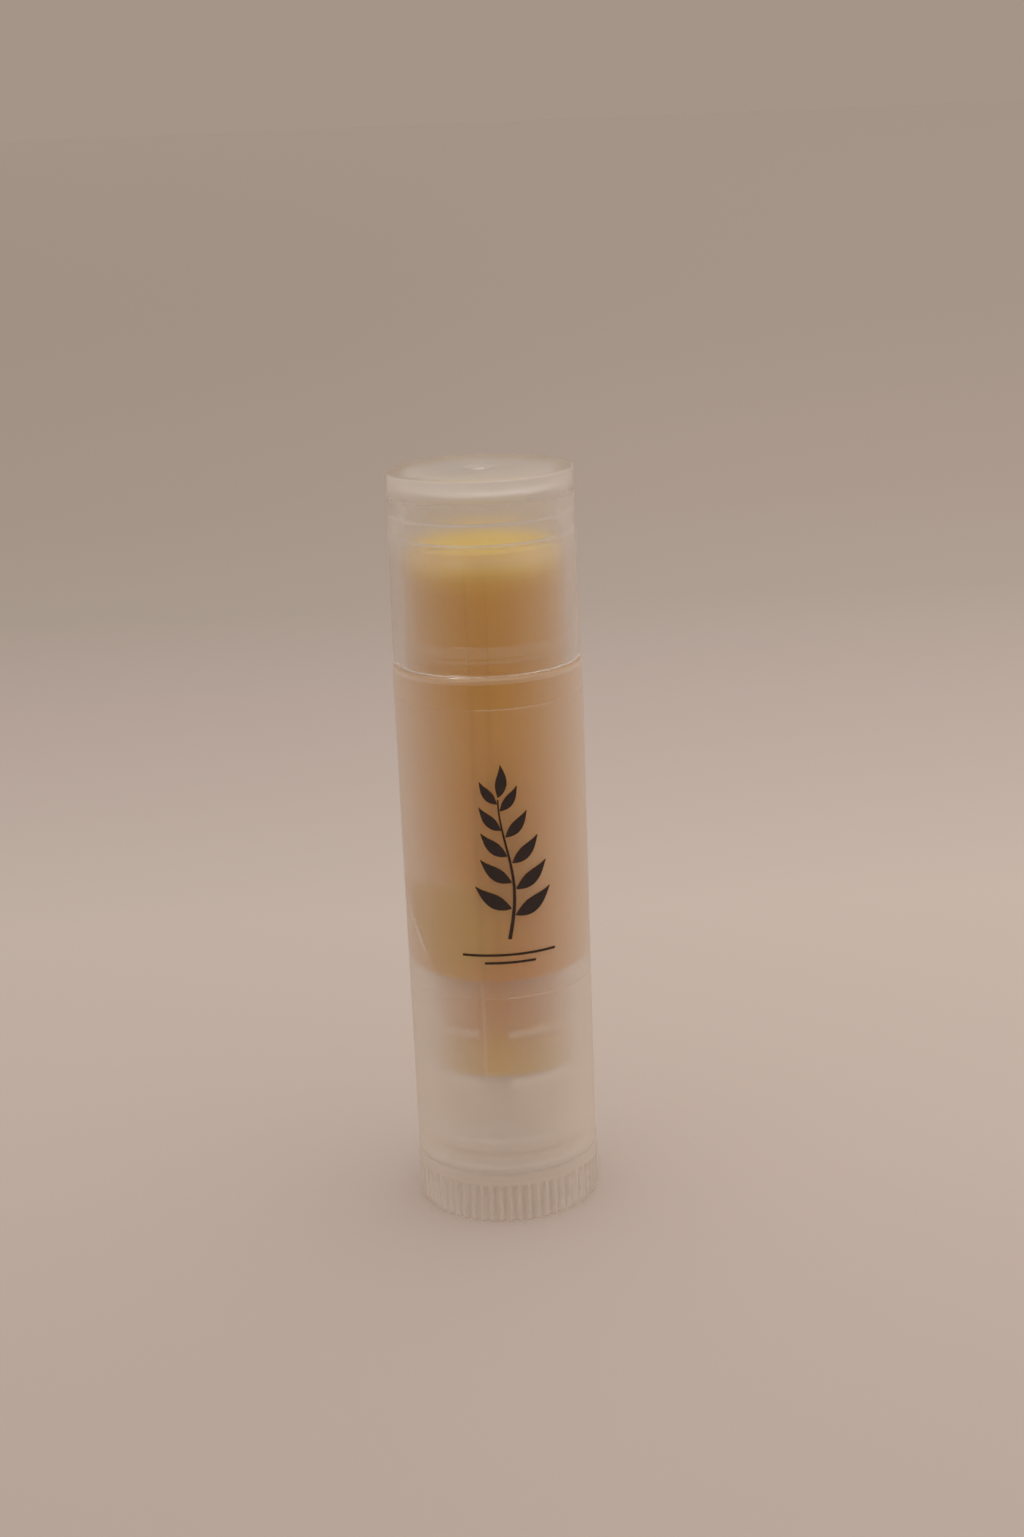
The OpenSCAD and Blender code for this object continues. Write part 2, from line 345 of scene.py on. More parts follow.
def moulded_polypropylene(name, roughness, milk, milk_edge_on, lets_through, matt_and_painted_light_faces=(), step=None,
                          marked=None, flat_share=0.7):
    """Natural polypropylene, injection moulded: a milky, frosted clear that blurs what is behind it.

    Each matt face is (radius, radius, height, height, milk): the milk grows from the first radius to the
    second, and from the first height to the second. Some of them are pale faces that are painted highlights.
    step is (height, share of the milk below it, share above it, roughness above it).
    marked is the share of milk where the wax clings to the bore, and flat_share that of a flat end.
    """
    material, tree = new_material(name)
    place = add(tree, "ShaderNodeTexCoord")
    point = add(tree, "ShaderNodeSeparateXYZ", {"Vector": place.outputs["Object"]})
    # Faint flow marks from the mould
    flow = add(tree, "ShaderNodeTexNoise", {
        "Vector": place.outputs["Object"], "Scale": 1 / (FLOW_MARK_W * MM), "Detail": 3.0, "Roughness": 0.55})
    bump = add(tree, "ShaderNodeBump", {
        "Height": flow.outputs["Fac"], "Strength": 0.05, "Distance": 0.1 * MM})
    clear = add(tree, "ShaderNodeBsdfPrincipled", {
        "Base Color": linear("ffffff"),
        "Roughness": roughness,
        "IOR": 1.49,
        "Transmission Weight": 1.0,
        "Normal": bump.outputs["Normal"]})
    milky = add(tree, "ShaderNodeBsdfPrincipled", {
        "Base Color": linear(MILK), "Roughness": 0.55, "IOR": 1.49, "Normal": bump.outputs["Normal"]})
    # A wall seen edge on is looked through for longer, so it turns milkier there
    edge_on = add(tree, "ShaderNodeLayerWeight", {"Blend": 0.75})
    # Flat ends and steps are looked through along a short way, so they stay clearer
    faces = add(tree, "ShaderNodeSeparateXYZ", {"Vector": place.outputs["Normal"]})
    flat = add(tree, "ShaderNodeMath", {0: faces.outputs["Z"]}, operation="ABSOLUTE")
    haze = product(
        tree,
        mapped(tree, edge_on.outputs["Facing"], 0.0, 1.0, milk, milk_edge_on),
        mapped(tree, flat.outputs[0], 0.0, 1.0, 1.0, flat_share))
    if step:
        step_z, share_below, share_above, roughness_above = step
        low = step_z * MM
        high = low + 0.1 * MM
        haze = product(tree, haze, mapped(tree, point.outputs["Z"], low, high, share_below, share_above))
        if roughness_above != roughness:
            rougher = mapped(tree, point.outputs["Z"], low, high, roughness, roughness_above)
            tree.links.new(rougher, clear.inputs["Roughness"])
    if marked:
        # Where the wax clings to the bore no air film shows behind the wall
        haze = product(tree, haze, mapped(tree, in_patch(tree, place), 0.0, 1.0, 1.0, marked))
    level = add(tree, "ShaderNodeCombineXYZ", {"X": point.outputs["X"], "Y": point.outputs["Y"]})
    radius = add(tree, "ShaderNodeVectorMath", {0: level.outputs["Vector"]}, operation="LENGTH")
    # Matt faces, some of them pale faces that are painted highlights
    for from_r, to_r, from_z, to_z, face_milk in matt_and_painted_light_faces:
        face = product(
            tree,
            mapped(tree, radius.outputs["Value"], from_r * MM, to_r * MM, 0.0, face_milk),
            mapped(tree, point.outputs["Z"], from_z * MM, to_z * MM, 0.0, 1.0, soft=True))
        haze = add(tree, "ShaderNodeMath", {0: haze, 1: face}, operation="ADD", use_clamp=True).outputs[0]
    wall = add(tree, "ShaderNodeMixShader", {
        0: haze, 1: clear.outputs["BSDF"], 2: milky.outputs["BSDF"]})
    # Lamps reach what is inside through the plastic, which dims them a little
    path = add(tree, "ShaderNodeLightPath")
    lamp = add(tree, "ShaderNodeMath", {
        0: path.outputs["Is Shadow Ray"], 1: path.outputs["Is Diffuse Ray"]}, operation="MAXIMUM")
    passed = add(tree, "ShaderNodeBsdfTransparent", {"Color": linear(lets_through)})
    surface = add(tree, "ShaderNodeMixShader", {
        0: lamp.outputs[0], 1: wall.outputs["Shader"], 2: passed.outputs["BSDF"]})
    add(tree, "ShaderNodeOutputMaterial", {"Surface": surface.outputs["Shader"]})
    return material


def cast_wax():
    """Beeswax and oils, cast in the tube: soft, warm and a little see-through, with painted light that makes
    it paler near and on its open top.
    """
    material, tree = new_material("cast beeswax balm")
    place = add(tree, "ShaderNodeTexCoord")
    height = add(tree, "ShaderNodeSeparateXYZ", {"Vector": place.outputs["Object"]})
    up = add(tree, "ShaderNodeMapRange", {
        "Value": height.outputs["Z"], "From Min": CUP_FLOOR_Z * MM, "From Max": BALM_TOP_Z * MM})
    # Yellower at the foot and browner in the middle; the pale band near and on the top is painted light, the
    # top lit from above under the pale veil of the plastic
    side = add(tree, "ShaderNodeValToRGB", {"Fac": up.outputs["Result"]})
    stops(side, (0.0, "c69e46"), (0.06, "c0903c"), (0.1, "b97e36"), (0.13, "b87a34"), (0.3, "ba7a1a"),
          (0.75, "bb7e14"), (0.916, "c4890e"), (0.945, "cf9c2a"), (0.965, "e6c26a"), (0.98, "eed090"),
          (0.996, "eacb84"), (1.0, "d8b24e"))
    # Yellower patches, where the wax clings to the bore
    patches = add(tree, "ShaderNodeTexNoise", {
        "Vector": place.outputs["Object"], "Scale": 1 / (WAX_PATCH_W * MM), "Detail": 2.0, "Roughness": 0.5})
    cling = add(tree, "ShaderNodeMapRange", {
        "Value": patches.outputs["Fac"], "From Min": 0.45, "From Max": 0.75, "To Max": 0.35})
    blotched = add(tree, "ShaderNodeMix", {
        "Factor": cling.outputs["Result"], 6: side.outputs["Color"], 7: linear("bf9232")}, data_type="RGBA")
    colour = add(tree, "ShaderNodeMix", {
        "Factor": in_patch(tree, place), 6: blotched.outputs[2], 7: linear("b88b36")}, data_type="RGBA")
    # Fine grain of the set wax
    grain = add(tree, "ShaderNodeTexNoise", {
        "Vector": place.outputs["Object"], "Scale": 1 / (WAX_GRAIN_W * MM), "Detail": 2.0})
    bump = add(tree, "ShaderNodeBump", {
        "Height": grain.outputs["Fac"], "Strength": 0.15, "Distance": 0.05 * MM})
    shader = add(tree, "ShaderNodeBsdfPrincipled", {
        "Base Color": colour.outputs[2],
        "Roughness": 0.42,
        "IOR": 1.44,
        "Subsurface Weight": 0.35,
        "Subsurface Radius": (1.0, 0.6, 0.25),
        "Subsurface Scale": 1.2 * MM,
        "Specular IOR Level": 0.2,
        "Normal": bump.outputs["Normal"]})
    add(tree, "ShaderNodeOutputMaterial", {"Surface": shader.outputs["BSDF"]})
    return material


def clear_film():
    """Clear polypropylene label film: all but unseen, with a soft gloss and paler cut edges."""
    material, tree = new_material("clear polypropylene film")
    place = add(tree, "ShaderNodeTexCoord")
    height = add(tree, "ShaderNodeSeparateXYZ", {"Vector": place.outputs["Object"]})
    middle = add(tree, "ShaderNodeMath", {
        0: height.outputs["Z"], 1: (LABEL_Z + LABEL_TOP_Z) / 2 * MM}, operation="SUBTRACT")
    off_middle = add(tree, "ShaderNodeMath", {0: middle.outputs[0]}, operation="ABSOLUTE")
    half = (LABEL_TOP_Z - LABEL_Z) / 2
    edge = mapped(tree, off_middle.outputs[0], (half - 0.18) * MM, (half - 0.05) * MM, 0.015, 0.03)
    # A short slanting crease in the film, low on the left
    crease_middle = Vector((-6.95, -3.95, 26.0))
    crease_full = 1.2
    crease_end = 2.2
    off_plane = add(tree, "ShaderNodeMath", {0: off_crease(tree, place)}, operation="ABSOLUTE")
    off_centre = add(tree, "ShaderNodeVectorMath", {
        0: place.outputs["Object"], 1: crease_middle * MM}, operation="DISTANCE")
    crease = product(
        tree,
        mapped(tree, off_plane.outputs[0], 0.2 * MM, 0.05 * MM, 0.0, 0.3),
        mapped(tree, off_centre.outputs["Value"], crease_end * MM, crease_full * MM, 0.0, 1.0, soft=True))
    # Air under a stretch of the top edge and a shorter one of the bottom edge shows them as pale lines
    lift_middle = Vector((2.6, -7.6, 0))
    lift_full = 3.0
    lift_end = 4.4
    shorter_below = 1.5
    level = add(tree, "ShaderNodeCombineXYZ", {"X": height.outputs["X"], "Y": height.outputs["Y"]})
    off_lift = add(tree, "ShaderNodeVectorMath", {
        0: level.outputs["Vector"], 1: lift_middle * MM}, operation="DISTANCE")
    shorter = mapped(tree, height.outputs["Z"], LABEL_Z * MM, LABEL_TOP_Z * MM, shorter_below * MM, 0.0)
    off_stretch = add(tree, "ShaderNodeMath", {0: off_lift.outputs["Value"], 1: shorter}, operation="ADD")
    lifted = product(
        tree,
        mapped(tree, off_middle.outputs[0], (half - 0.16) * MM, (half - 0.08) * MM, 0.0, 0.09),
        mapped(tree, off_stretch.outputs[0], lift_end * MM, lift_full * MM, 0.0, 1.0, soft=True))
    creases = add(tree, "ShaderNodeMath", {0: crease, 1: lifted}, operation="ADD")
    cover = add(tree, "ShaderNodeMath", {0: edge, 1: creases.outputs[0]}, operation="ADD")
    shader = add(tree, "ShaderNodeBsdfPrincipled", {
        "Base Color": linear("e6d8ca"),
        "Roughness": 0.3,
        "IOR": 1.49,
        "Alpha": cover.outputs[0]})
    add(tree, "ShaderNodeOutputMaterial", {"Surface": shader.outputs["BSDF"]})
    return material


def printed_ink():
    """Dark brown label ink: dense and matt beside the film."""
    material, tree = new_material("brown label ink")
    place = add(tree, "ShaderNodeTexCoord")
    # Uneven coverage of the ink
    cover = add(tree, "ShaderNodeTexNoise", {
        "Vector": place.outputs["Object"], "Scale": 1 / (INK_BLOTCH_W * MM)})
    tone = add(tree, "ShaderNodeValToRGB", {"Fac": cover.outputs["Fac"]})
    stops(tone, (0.3, "22110b"), (0.7, "2e1912"))
    shader = add(tree, "ShaderNodeBsdfPrincipled", {"Base Color": tone.outputs["Color"], "Roughness": 0.5})
    add(tree, "ShaderNodeOutputMaterial", {"Surface": shader.outputs["BSDF"]})
    return material


def paper_sweep():
    """Pale matt background paper, lit less the farther back it lies."""
    material, tree = new_material("matt background paper")
    place = add(tree, "ShaderNodeTexCoord")
    depth = add(tree, "ShaderNodeSeparateXYZ", {"Vector": place.outputs["Object"]})
    # Depth y becomes y / (|y| + reach), which runs from -1 in front to 1 at the far edge
    reach = 0.3
    size = add(tree, "ShaderNodeMath", {0: depth.outputs["Y"]}, operation="ABSOLUTE")
    longer = add(tree, "ShaderNodeMath", {0: size.outputs[0], 1: reach}, operation="ADD")
    ratio = add(tree, "ShaderNodeMath", {0: depth.outputs["Y"], 1: longer.outputs[0]}, operation="DIVIDE")
    along = add(tree, "ShaderNodeMapRange", {"Value": ratio.outputs[0], "From Min": -0.2, "From Max": 1.0})
    tone = add(tree, "ShaderNodeValToRGB", {"Fac": along.outputs["Result"]})
    stops(tone, (0.0, "b9a79c"), (0.17, "c3b1a6"), (0.33, "c6b5a9"), (0.475, "baa89e"), (0.55, "b0a094"),
          (0.63, "ae9d90"), (0.8, "b09e91"), (1.0, "b3a093"))
    # The left of the paper is lit a little less than the right
    span = add(tree, "ShaderNodeMath", {0: depth.outputs["X"]}, operation="ABSOLUTE")
    # The change is spread over a width that grows with the square of the depth
    spread = add(tree, "ShaderNodeMath", {
        0: product(tree, longer.outputs[0], longer.outputs[0]), 1: 0.1, 2: 0.03}, operation="MULTIPLY_ADD")
    wider = add(tree, "ShaderNodeMath", {0: span.outputs[0], 1: spread.outputs[0]}, operation="ADD")
    side = add(tree, "ShaderNodeMath", {0: depth.outputs["X"], 1: wider.outputs[0]}, operation="DIVIDE")
    lit = add(tree, "ShaderNodeMapRange", {
        "Value": side.outputs[0], "From Min": -1.0, "To Min": 0.945, "To Max": 1.055})
    toned = add(tree, "ShaderNodeVectorMath", {
        0: tone.outputs["Color"], "Scale": lit.outputs["Result"]}, operation="SCALE")
    shader = add(tree, "ShaderNodeBsdfPrincipled", {
        "Base Color": toned.outputs["Vector"], "Roughness": 0.9, "Specular IOR Level": 0.1})
    add(tree, "ShaderNodeOutputMaterial", {"Surface": shader.outputs["BSDF"]})
    return material


# Colour of the milk in the plastic
MILK = "dac8b7"
# The closed end of the cap is matt, with a milky inner corner, and its gate mark is milkiest, a pale spot
# that is a painted highlight on the gate mark
cap_plastic = moulded_polypropylene(
    "frosted natural polypropylene, cap", 0.25, milk=0.008, milk_edge_on=0.3, lets_through="fcfbfa",
    matt_and_painted_light_faces=((GATE_R + 0.05, GATE_R - 0.05, RIM_Z, RIM_Z + 1, 0.6),
                (4.6, 5.4, TOP_Z - 1.6, TOP_Z - 1.1, 0.1)),
    step=(TOP_Z - 1.95, 1.0, 0.5, 0.42))
# The bore is matt and dry below the cup, and wetted by the wax above it. Its beads and shoulder are matt too
barrel_plastic = moulded_polypropylene(
    "frosted natural polypropylene, barrel", 0.36, milk=0.03, milk_edge_on=0.82, lets_through="fcfbfa",
    matt_and_painted_light_faces=((BORE_R + 0.5, BORE_R + 0.4, CUP_FLOOR_Z + 0.6, CUP_FLOOR_Z - 0.8, 0.38),
                (NECK_R + 0.01, NECK_R + 0.06, SHOULDER_Z + 0.5, SHOULDER_Z + 0.6, 0.07),
                (NECK_R, NECK_R + 0.3, SHOULDER_Z - 0.55, SHOULDER_Z - 0.35, 0.2)),
    step=(SHOULDER_Z, 1.0, 0.3, 0.2), marked=0.6, flat_share=0.2)
# The lands between the wheel's flutes are matt and milkier, pale lines that are a painted highlight where the
# lands catch light from above
dial_plastic = moulded_polypropylene(
    "frosted natural polypropylene, dial", 0.36, milk=0.06, milk_edge_on=0.4, lets_through="f4f0ec",
    matt_and_painted_light_faces=((WHEEL_R - 0.1, WHEEL_R - 0.02, WHEEL_H + 1, WHEEL_H, 0.3),))
# The slide rings round the cup are matt, but for the one at its rim. Below the cup's floor the plastic is
# much milkier, painted light that fills the shade under the wax where light would glow through it
elevator_plastic = moulded_polypropylene(
    "natural polypropylene, elevator", 0.3, milk=0.03, milk_edge_on=0.1, lets_through="faf8f6",
    matt_and_painted_light_faces=((RING_R - 0.1, RING_R - 0.02, CUP_RIM_Z - 1.2, CUP_RIM_Z - 1.8, 0.35),),
    step=(CUP_FLOOR_Z, 8.0, 1.0, 0.3))
wax = cast_wax()
film = clear_film()
ink = printed_ink()


def make_cap():
    """The push-on cap: drafted outside, with stepped ledges inside and a gate dimple on top."""
    under = TOP_Z - CAP_TOP_T
    mouth_r = BARREL_R - CAP_SETBACK
    top_r = mouth_r - CAP_TAPER
    low_ledge = RIM_Z + RIM_GAP
    high_ledge = low_ledge + LEDGE_H
    end_r = CAP_IN_R - 2 * LEDGE_IN
    disc_r = end_r - CORNER_IN
    inner_corner = [
        (disc_r + CORNER_IN * math.cos(a), under - CORNER_H + CORNER_H * math.sin(a))
        for a in (math.pi / 2 * i / CORNER_STEPS for i in range(CORNER_STEPS - 1, 0, -1))]
    outline = rounded([
        (CAP_IN_R + MOUTH_CHAMFER, MOUTH_Z), (mouth_r, MOUTH_Z + MOUTH_SLOPE),
        (mouth_r, MOUTH_Z + 2 * MOUTH_SLOPE), (top_r, TOP_Z),
        (DIMPLE_R, TOP_Z), (DIMPLE_FLOOR_R, TOP_Z - DIMPLE_DEEP), (GATE_R, TOP_Z - GATE_DEEP),
        (GATE_TIP_R, TOP_Z - GATE_TIP_DEEP), (0, TOP_Z - GATE_TIP_DEEP),
        (0, under), (disc_r, under), *inner_corner, (end_r, under - CORNER_H),
        (end_r, high_ledge + LEDGE_RUN / 2), (end_r + LEDGE_STEP, high_ledge - LEDGE_RUN / 2),
        (end_r + LEDGE_IN, low_ledge + LEDGE_RUN / 2),
        (end_r + LEDGE_IN + LEDGE_STEP, low_ledge - LEDGE_RUN / 2),
        (CAP_IN_R, low_ledge - LEDGE_H), (CAP_IN_R, MOUTH_Z + MOUTH_CHAMFER)], CAP_EDGE_ROUND)
    piece = turned("cap_shell", outline)
    return dressed(piece, "cap", "cap", cap_plastic)


def near_rib(angle, width):
    """Whether a direction falls within a guide rib of the given width, or its opposite."""
    half = width / 2 / BORE_R
    return any(angle_apart(angle, RIB_TURN + turn) <= half for turn in (0, math.pi))


def rib_edges(width):
    """Directions just inside and just outside of the sides of both guide ribs."""
    half = width / 2 / BORE_R
    sliver = 0.0015
    return [RIB_TURN + turn + side * (half + step)
            for turn in (0, math.pi) for side in (-1, 1) for step in (-sliver, sliver)]


def make_barrel():
    """The barrel: tube, shoulder and thinner neck in one moulding, with two guide ribs in the bore."""
    lip_r = NECK_R - NECK_LIP_IN
    snap_z = WHEEL_H + SNAP_LIFT
    snap_r = BORE_R + SNAP_OUT + SNAP_CLEAR
    foot_r = BARREL_R - BARREL_TAPER
    shoulder_edge = [
        (BARREL_R - SHOULDER_EDGE * (1 - math.cos(a)), SHOULDER_Z - SHOULDER_EDGE * (1 - math.sin(a)))
        for a in (math.pi / 2 * i / SHOULDER_STEPS for i in range(SHOULDER_STEPS + 1))]
    outline = rounded([
        (BORE_R + BORE_CHAMFER, BARREL_Z), (foot_r, BARREL_Z), (foot_r, BARREL_Z + FOOT_EDGE),
        *shoulder_edge, (NECK_R, SHOULDER_Z),
        *[(NECK_R + out, SHOULDER_Z + up) for out, up in BEADS],
        (NECK_R, RIM_Z - NECK_LIP_H), (lip_r, RIM_Z - NECK_LIP_H),
        (lip_r, RIM_Z), (BORE_R, RIM_Z), (BORE_R, RIM_Z - RIB_STOP), (BORE_R, RIM_Z - RIB_STOP - RIB_END),
        (BORE_R, RIB_START + RIB_END), (BORE_R, RIB_START),
        (BORE_R, snap_z + SNAP_H + SNAP_CLEAR), (snap_r, snap_z + SNAP_H + SNAP_CLEAR),
        (snap_r, snap_z - SNAP_CLEAR), (BORE_R, snap_z - SNAP_SLOPE - SNAP_CLEAR),
        (BORE_R, BARREL_Z + BORE_CHAMFER)], BARREL_EDGE_ROUND)

    def with_ribs(radius, height, angle):
        inside = RIB_START + RIB_END / 2 < height < RIM_Z - RIB_STOP - RIB_END / 2
        if inside and radius < BORE_R + SLACK and near_rib(angle, RIB_W):
            return BORE_R - RIB_H
        return radius

    piece = turned("barrel_tube", outline, radius_at=with_ribs, extra_angles=rib_edges(RIB_W))
    return dressed(piece, "barrel", "barrel", barrel_plastic)


def make_balm():
    """The cast balm: a round-edged top, a plug in the elevator's cup, and grooves left by the guide ribs."""
    hole_r = SCREW_R + SCREW_CLEAR
    hole_z = SCREW_TOP_Z + SCREW_END_CLEAR
    plug_r = CUP_IN_R + TIGHT
    outline = [
        (plug_r, CUP_FLOOR_Z - TIGHT), (plug_r, CUP_RIM_Z + TIGHT), (BALM_R, CUP_RIM_Z + TIGHT),
        (BALM_R, GROOVE_FADE_Z), (BALM_R, RIM_Z - RIB_STOP)]
    for step in range(BALM_EDGE_STEPS + 1):
        a = math.pi / 2 * step / BALM_EDGE_STEPS
        outline.append((
            BALM_R - BALM_EDGE_IN * (1 - math.cos(a)), BALM_TOP_Z - BALM_EDGE_H * (1 - math.sin(a))))
    # Rings a millimetre apart over the flat top
    outline += [(r, BALM_TOP_Z) for r in range(5, 0, -1)]
    outline += [
        (0, BALM_TOP_Z), (0, hole_z), (hole_r, hole_z), (hole_r, NUT_TOP_Z),
        (NUT_CLEAR_R, NUT_TOP_Z), (NUT_CLEAR_R, CUP_FLOOR_Z - TIGHT)]
    groove_w = RIB_W - 2 * TIGHT

    def grooved(radius, height, angle):
        if radius > plug_r + SLACK and height < GROOVE_FADE_Z + SLACK and near_rib(angle, groove_w):
            return BALM_R - GROOVE_DEEP
        return radius

    piece = turned("cast_balm", outline, radius_at=grooved, extra_angles=rib_edges(groove_w))
    return dressed(piece, "elevator", "balm", wax)


def make_wheel():
    """The fluted wheel at the foot, with the boss that snaps into the barrel."""
    snap_z = WHEEL_H + SNAP_LIFT
    snap_r = BOSS_R + SNAP_OUT + SNAP_CLEAR
    boss_top = WHEEL_H + BOSS_LEN
    boss_in_r = BOSS_R - BOSS_WALL
    inside = FOOT_DEEP + WHEEL_FLOOR
    # The wheel bears on the barrel's foot, so no air shows between them
    top = BARREL_Z + TIGHT
    outline = rounded([
        (0, FOOT_DEEP), (WHEEL_R - FOOT_W, FOOT_DEEP), (WHEEL_R - FOOT_W + FOOT_SLOPE, 0),
        (WHEEL_R - FOOT_CHAMFER_IN, 0), (WHEEL_R, FOOT_CHAMFER_H),
        (WHEEL_R, FLUTE_LEN - FLUTE_RUN_OUT), (WHEEL_R, FLUTE_LEN), (WHEEL_R, top - WHEEL_BEVEL_H),
        (BARREL_R - BARREL_TAPER + TIGHT, top), (WHEEL_R - WHEEL_WALL, top), (WHEEL_R - WHEEL_WALL, inside),
        (BOSS_R - BOSS_UNDERCUT, inside), (BOSS_R - BOSS_UNDERCUT, WHEEL_H - BOSS_CHAMFER), (BOSS_R, WHEEL_H),
        (BOSS_R, snap_z - SNAP_SLOPE), (snap_r, snap_z), (snap_r, snap_z + SNAP_H / 2),
        (BOSS_R, snap_z + SNAP_H), (BOSS_R, boss_top - BOSS_CHAMFER), (BOSS_R - BOSS_CHAMFER, boss_top),
        (boss_in_r, boss_top), (boss_in_r, inside),
        (SCREW_R, inside), (SCREW_R, boss_top - SCREW_SUNK), (0, boss_top - SCREW_SUNK)], WHEEL_EDGE_ROUND)

    def fluted(radius, height, angle):
        if radius < WHEEL_R - FLUTE_DEEP or height > FLUTE_LEN - FLUTE_RUN_OUT / 6:
            return radius
        across = angle * FLUTES / math.tau % 1.0 - 0.5
        groove = 1 - (2 * across / (1 - FLUTE_LAND_SHARE)) ** 2
        return radius - FLUTE_DEEP * max(0.0, groove)

    piece = turned("fluted_wheel", outline, columns=FLUTES * FLUTE_COLUMNS, radius_at=fluted)
    return dressed(piece, "dial", "dial_screw", dial_plastic)


def make_spindle():
    """The spindle with its two-start left-hand thread."""
    work = bmesh.new()
    columns = 48
    rows = 220
    low = WHEEL_H + BOSS_LEN - SCREW_SUNK
    rings = []
    for row in range(rows + 1):
        height = low + (SCREW_TOP_Z - low) * row / rows
        turn = -math.tau * (height - WHEEL_H - BOSS_LEN) / LEAD
        ring = []
        for column in range(columns):
            angle = math.tau * column / columns
            r = SCREW_R - THREAD_DEEP * (1 - math.cos(STARTS * (angle - turn))) / 2
            ring.append(work.verts.new((r * math.cos(angle) * MM, r * math.sin(angle) * MM, height * MM)))
        rings.append(ring)
    for near, far in zip(rings, rings[1:]):
        for i in range(columns):
            j = (i + 1) % columns
            work.faces.new((near[i], near[j], far[j], far[i]))
    work.faces.new(list(reversed(rings[0])))
    work.faces.new(rings[-1])
    piece = finished("threaded_spindle", work)
    return dressed(piece, "dial", "dial_screw", dial_plastic)


def wall_r(height):
    """The radius of the barrel's tapered wall at a height."""
    return BARREL_R - BARREL_TAPER * (SHOULDER_Z - height) / (SHOULDER_Z - BARREL_Z)


def make_label():
    """The clear label, wrapped round the barrel with a narrow gap at the back."""
    half_gap = math.radians(3)
    columns = 180
    rows = 40
    heights = [LABEL_Z + (LABEL_TOP_Z - LABEL_Z) * i / rows for i in range(rows + 1)]
    work = bmesh.new()
    layers = []
    for out in (0.0, LABEL_T):
        layer = []
        for height in heights:
            r = wall_r(height) + LABEL_OFF + out
            row = []
            for i in range(columns + 1):
                angle = math.pi / 2 + half_gap + (math.tau - 2 * half_gap) * i / columns
                row.append(work.verts.new((r * math.cos(angle) * MM, r * math.sin(angle) * MM, height * MM)))
            layer.append(row)
        layers.append(layer)
    inner, outer = layers
    for sheet in layers:
        for low, high in zip(sheet, sheet[1:]):
            for i in range(columns):
                work.faces.new((low[i], low[i + 1], high[i + 1], high[i]))
    for row in (0, -1):
        for i in range(columns):
            work.faces.new((inner[row][i], inner[row][i + 1], outer[row][i + 1], outer[row][i]))
    for column in (0, -1):
        for j in range(len(heights) - 1):
            work.faces.new((
                inner[j][column], inner[j + 1][column], outer[j + 1][column], outer[j][column]))
    piece = finished("clear_label", work)
    return dressed(piece, "barrel", "label", film)


def on_film(across, height, proud):
    """A point over the label's film, by its distance round from the front and its height in millimetres."""
    film_r = wall_r(height) + LABEL_T
    angle = across / film_r - math.pi / 2
    r = film_r + proud
    return (r * math.cos(angle) * MM, r * math.sin(angle) * MM, height * MM)


def ink_stroke(work, route, widths):
    """Lays a thin stroke of ink along a route of (across, height) points, with a width at each."""
    rows = []
    for i, point in enumerate(route):
        ahead = Vector(route[min(i + 1, len(route) - 1)]) - Vector(route[max(i - 1, 0)])
        side = Vector((-ahead.y, ahead.x)).normalized() * widths[i] / 2
        places = [Vector(point) + side * share for share in (-1, 0, 1)]
        rows.append([work.verts.new(on_film(*p, proud)) for proud in (-INK_SUNK, INK_PROUD) for p in places])
    for near, far in zip(rows, rows[1:]):
        for a, b in ((0, 1), (1, 2), (2, 5), (5, 4), (4, 3), (3, 0)):
            work.faces.new((near[a], near[b], far[b], far[a]))
    for end in (rows[0], rows[-1]):
        work.faces.new((end[0], end[1], end[4], end[3]))
        work.faces.new((end[1], end[2], end[5], end[4]))


def make_print():
    """The label's print: a leafy sprig over two thin rules, in one dark ink."""
    work = bmesh.new()
    stem_low = 26.3
    stem_high = 38.6
    stem_w = 0.32
    stem_taper = 0.2
    centre = 0.9
    sway = 0.55
    rule_w = 0.2
    steps = 24

    def on_stem(share):
        across = centre + sway * math.sin(share * math.pi * 1.5)
        return Vector((across, stem_low + (stem_high - stem_low) * share))

    shares = [i / steps for i in range(steps + 1)]
    ink_stroke(work, [on_stem(s) for s in shares], [stem_w - stem_taper * s for s in shares])
    # Leaves in pairs up the stem, smaller and steeper towards its tip, and one more at the end
    pairs = 5
    lowest_share = 0.16
    lowest_length = 4.1
    shorter = 0.35
    lowest_lean = 34
    steeper = 5
    leaves = [(on_stem(1.0), 84, 3.0)]
    for pair in range(pairs):
        share = lowest_share + 0.75 * pair / (pairs - 1)
        length = lowest_length - shorter * pair
        lean = lowest_lean + steeper * pair
        leaves.append((on_stem(share), lean, length))
        # The left leaf of a pair grows a little higher and shorter than the right one
        leaves.append((on_stem(share + 0.05), 180 - lean, length * 0.94))
    for foot, lean, length in leaves:
        along = Vector((math.cos(math.radians(lean)), math.sin(math.radians(lean))))
        bend = 0.12 * length * (1 if lean > 90 else -1)
        curl = Vector((-along.y, along.x)) * bend
        route = [foot + along * length * (0.06 + 0.94 * s) + curl * (s * s - s) * -2 for s in shares]
        fullest = 0.3 * length
        ink_stroke(work, route, [0.05 + fullest * math.sin(math.pi * s ** 0.8) ** 1.2 for s in shares])
    for height, length in ((24.9, 8.2), (24.2, 4.4)):
        route = [(centre + (s - 0.5) * length, height) for s in shares]
        ink_stroke(work, route, [rule_w] * len(route))
    piece = finished("printed_sprig", work)
    return dressed(piece, "barrel", None, ink)


make_cap()
make_barrel()
make_balm()
make_wheel()
make_spindle()
make_label()
make_print()
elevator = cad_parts["elevator"]
elevator.data.materials.clear()
elevator.data.materials.append(elevator_plastic)


